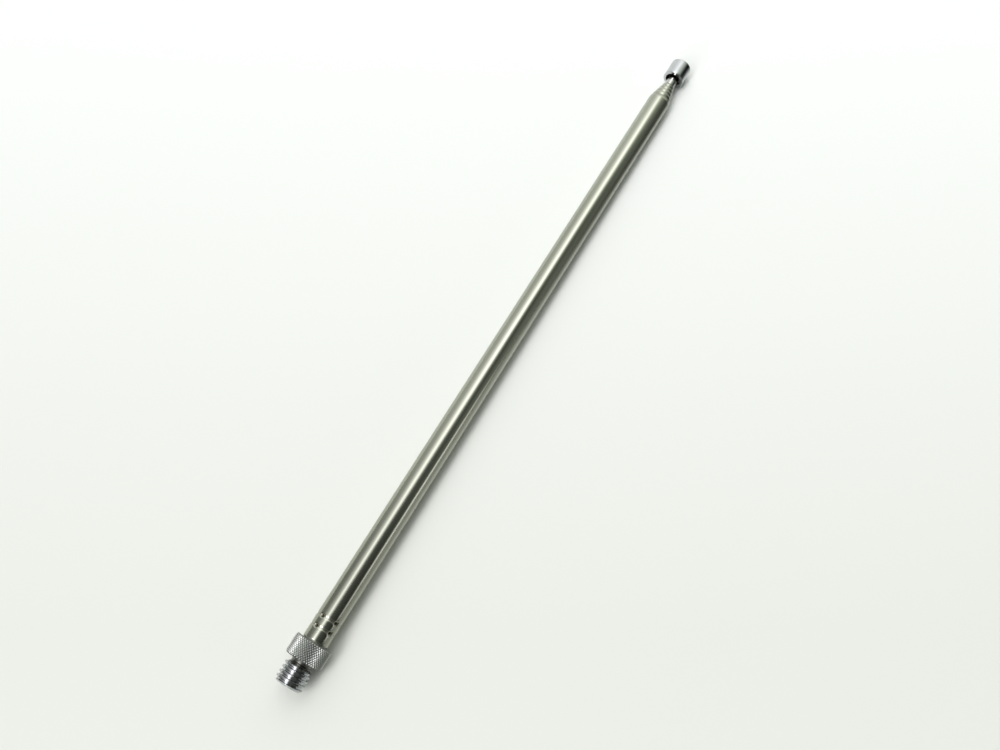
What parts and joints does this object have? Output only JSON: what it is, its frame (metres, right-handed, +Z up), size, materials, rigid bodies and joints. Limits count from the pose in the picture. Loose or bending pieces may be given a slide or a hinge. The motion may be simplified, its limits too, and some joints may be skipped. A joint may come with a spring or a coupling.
{
  "type": "magnetic pickup tool",
  "caption": "Slim telescopic rod of nested metal tubes with a small round magnet head at the tip and a knurled, threaded fitting at the base, for picking up dropped steel parts.",
  "frame": {"origin": "on the tool's axis, in the plane of the knurled collar's seat face, where a part screwed onto the stud comes to rest", "axes": "+X along the tool from the threaded end to the magnet; +Z up as the tool lies on its side"},
  "size_m": [0.2284, 0.0106, 0.0106],
  "materials": {
    "chrome_plate": "bright chrome plate",
    "stainless_tube": "drawn and polished, fine lengthwise lines",
    "steel_rod": "polished",
    "turned_brass": "turned",
    "spring_bronze": "rolled strip",
    "nickel_magnet": "nickel plate"
  },
  "bodies": {
    "handle": {"threaded_fitting": "chrome_plate", "outer_tube": "stainless_tube"},
    "sleeve_2": {"friction_sleeve_2": "spring_bronze"},
    "section_2": {"section_tube_2": "stainless_tube", "end_plug_2": "turned_brass"},
    "sleeve_3": {"friction_sleeve_3": "spring_bronze"},
    "section_3": {"section_tube_3": "stainless_tube", "end_plug_3": "turned_brass"},
    "sleeve_4": {"friction_sleeve_4": "spring_bronze"},
    "section_4": {"section_tube_4": "stainless_tube", "end_plug_4": "turned_brass"},
    "sleeve_5": {"friction_sleeve_5": "spring_bronze"},
    "section_5": {"section_tube_5": "stainless_tube", "end_plug_5": "turned_brass"},
    "sleeve_6": {"friction_sleeve_6": "spring_bronze"},
    "rod": {"rod": "steel_rod", "rod_stop_bush": "turned_brass", "magnet_cup": "chrome_plate", "magnet_liner": "turned_brass", "magnet": "nickel_magnet"}
  },
  "joints": [
    {"name": "slide_2", "type": "slide", "parent": "handle", "child": "sleeve_2", "axis": [1, 0, 0], "range_m": [0, 0.1841]},
    {"name": "turn_2", "type": "hinge", "parent": "sleeve_2", "child": "section_2", "pos_m": [0.0199, 0, 0], "axis": [1, 0, 0], "continuous": true},
    {"name": "slide_3", "type": "slide", "parent": "section_2", "child": "sleeve_3", "axis": [1, 0, 0], "range_m": [0, 0.17897]},
    {"name": "turn_3", "type": "hinge", "parent": "sleeve_3", "child": "section_3", "pos_m": [0.02665, 0, 0], "axis": [1, 0, 0], "continuous": true},
    {"name": "slide_4", "type": "slide", "parent": "section_3", "child": "sleeve_4", "axis": [1, 0, 0], "range_m": [0, 0.17384]},
    {"name": "turn_4", "type": "hinge", "parent": "sleeve_4", "child": "section_4", "pos_m": [0.0334, 0, 0], "axis": [1, 0, 0], "continuous": true},
    {"name": "slide_5", "type": "slide", "parent": "section_4", "child": "sleeve_5", "axis": [1, 0, 0], "range_m": [0, 0.16871]},
    {"name": "turn_5", "type": "hinge", "parent": "sleeve_5", "child": "section_5", "pos_m": [0.04015, 0, 0], "axis": [1, 0, 0], "continuous": true},
    {"name": "slide_6", "type": "slide", "parent": "section_5", "child": "sleeve_6", "axis": [1, 0, 0], "range_m": [0, 0.16358]},
    {"name": "turn_6", "type": "hinge", "parent": "sleeve_6", "child": "rod", "pos_m": [0.0469, 0, 0], "axis": [1, 0, 0], "continuous": true}
  ]
}
